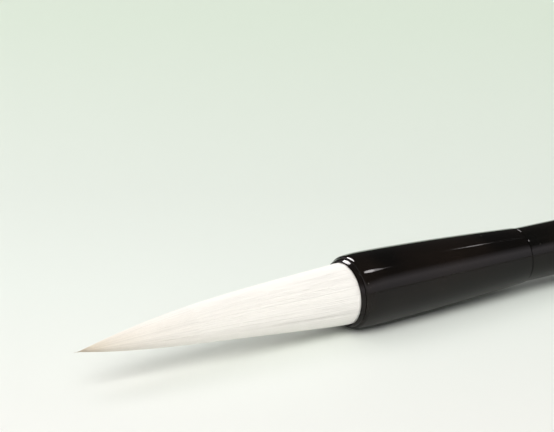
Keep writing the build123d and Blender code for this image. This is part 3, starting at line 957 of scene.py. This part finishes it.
# ---- table, light and camera ---------------------------------------------------------------------
def make_table():
    """A round table top that curves up far away, so that every side view ends on it."""
    edge, reach, rise, segments = 3.6, 1.4, 0.5, 96
    rings = [(radius, 0.0) for radius in (0.25, 0.6, 1.2, 2.4, edge)]
    rings += [(edge + reach * math.sin(a), rise * (1 - math.cos(a))) for a in (0.2, 0.5, 0.8, 1.1, 1.4, 1.57)]
    points, faces = [(0, 0, 0)], []
    for radius, height in rings:
        points += [(*polar(radius, TURN * k / segments), height) for k in range(segments)]
    for k in range(segments):
        faces.append((0, 1 + k, 1 + (k + 1) % segments))
    for row in range(len(rings) - 1):
        faces += band_faces(1 + (row + 1) * segments, 1 + row * segments, segments)
    add_mesh("table", points, faces, floor_material(), crease=80)


CAMERA_AZIMUTH = math.radians(-34.1)
CAMERA_ELEVATION = math.radians(18.33)
CAMERA_DISTANCE = 0.5629
CAMERA_LENS = 241.2
CAMERA_SENSOR = 36
AIM_RIGHT = -9.66 * MM
AIM_UP = 11.85 * MM
SUN_DISTANCE = 2.0
GLINT_DISTANCE = 0.7
GLINT_COLOUR = (1.0, 0.96, 0.96)


def direction(azimuth, elevation):
    """From the object towards a place seen at that azimuth and elevation."""
    return Vector((
        math.sin(azimuth) * math.cos(elevation), -math.cos(azimuth) * math.cos(elevation), math.sin(elevation)
    ))


def make_camera():
    """A long lens that looks slightly down, past the tip and towards the ferrule."""
    back = direction(CAMERA_AZIMUTH, CAMERA_ELEVATION)
    right = Vector((math.cos(CAMERA_AZIMUTH), math.sin(CAMERA_AZIMUTH), 0))
    up = back.cross(right)
    data = bpy.data.cameras.new("camera")
    data.lens = CAMERA_LENS
    data.sensor_width = CAMERA_SENSOR
    data.clip_start = 0.01
    camera = bpy.data.objects.new("camera", data)
    camera.location = MOUTH_CENTRE + right * AIM_RIGHT + up * AIM_UP + back * CAMERA_DISTANCE
    camera.rotation_mode = "QUATERNION"
    camera.rotation_quaternion = (-back).to_track_quat("-Z", "Y")
    bpy.context.scene.collection.objects.link(camera)
    bpy.context.scene.camera = camera


def add_light(data, away, distance, power, colour, roll=0):
    """A lamp at a distance from the mouth, pointed at it."""
    data.energy = power
    data.color = colour
    lamp = bpy.data.objects.new(data.name, data)
    lamp.location = MOUTH_CENTRE + away * distance
    lamp.rotation_mode = "QUATERNION"
    aimed = (MOUTH_CENTRE - lamp.location).to_track_quat("-Z", "Y")
    lamp.rotation_quaternion = aimed @ Quaternion((0, 0, 1), math.radians(roll))
    bpy.context.scene.collection.objects.link(lamp)
    return lamp


def sun(name, azimuth, elevation, power, colour, spread):
    """Soft light from a wide part of the sky, with no reflection of its own."""
    data = bpy.data.lights.new(name, "SUN")
    data.angle = math.radians(spread)
    away = direction(math.radians(azimuth), math.radians(elevation))
    lamp = add_light(data, away, SUN_DISTANCE, power, colour)
    lamp.visible_glossy = False


def glint(name, towards, power, size, roll=0):
    """A small lamp that only shows as a highlight on the gloss."""
    data = bpy.data.lights.new(name, "AREA")
    data.shape = "ELLIPSE"
    data.size, data.size_y = size
    lamp = add_light(data, Vector(towards).normalized(), GLINT_DISTANCE, power, GLINT_COLOUR, roll)
    lamp.visible_diffuse = False


def make_light():
    """A soft studio: a wide key, light from above, from the front and from behind, and glints."""
    sun("soft_key", -33, 52, 1.92, (1.0, 0.985, 0.97), 54)
    sun("soft_top", 110, 82, 0.94, (0.98, 1.0, 0.975), 84)
    sun("soft_fill", -38, 30, 0.74, (1.0, 0.995, 0.975), 50)
    sun("rear", -190, 40, 0.46, (1.0, 0.99, 0.975), 84)
    glint("ferrule_glint", (0.466, -0.279, 0.840), 0.38, (0.09, 0.21), 45)
    glint("nose_glint", (0.449, -0.285, 0.848), 0.30, (0.085, 0.11), 45)
    glint("ring_glint", (0.02, 0.65, 0.76), 9.50, (0.34, 0.36))
    glint("flank_glint", (0.67, 0.07, 0.738), 0.0105, (0.028, 0.014))


def make_world():
    """A dim room with a bright low wall on the side of the marks, and a fainter one past the tip."""
    world = bpy.data.worlds.new("room")
    bpy.context.scene.world = world
    world.use_nodes = True
    tree = world.node_tree
    back = tree.nodes["Background"]
    coordinates = tree.nodes.new("ShaderNodeTexCoord")
    split = tree.nodes.new("ShaderNodeSeparateXYZ")
    height = tree.nodes.new("ShaderNodeValToRGB")
    either = tree.nodes.new("ShaderNodeMath")
    either.operation = "MAXIMUM"
    mix = tree.nodes.new("ShaderNodeMix")
    mix.data_type = "RGBA"
    tree.links.new(coordinates.outputs["Generated"], split.inputs["Vector"])
    tree.links.new(split.outputs["Z"], height.inputs["Fac"])
    tree.links.new(map_range(tree, split.outputs["Y"], 0.25, -0.35, 0.0, 1.0), either.inputs[0])
    tree.links.new(map_range(tree, split.outputs["X"], 0.15, -0.35, 0.0, 0.75), either.inputs[1])
    stops = height.color_ramp.elements
    low_wall, high_wall = (1.0, 0.97, 1.02, 1), (1.5, 1.4, 1.48, 1)
    ceiling, dim = (0.045, 0.04, 0.037, 1), 0.045
    stops[0].position, stops[0].color = 0.16, low_wall
    stops[1].position, stops[1].color = 0.62, ceiling
    stops.new(0.40).color = high_wall
    mix.inputs[6].default_value = (dim, dim, dim, 1)
    tree.links.new(either.outputs["Value"], mix.inputs[0])
    tree.links.new(height.outputs["Color"], mix.inputs[7])
    tree.links.new(mix.outputs[2], back.inputs["Color"])
    back.inputs["Strength"].default_value = 1.0
    world.cycles_visibility.diffuse = False


make_camera()
make_loop()
make_table()
make_light()
make_world()
make_mouth_ring()
make_ferrule()
make_barrel()
make_tail_cap()
make_finial()
make_hair()
make_seal()
make_marks()
finish_hidden()
bpy.context.scene.view_settings.view_transform = "Standard"
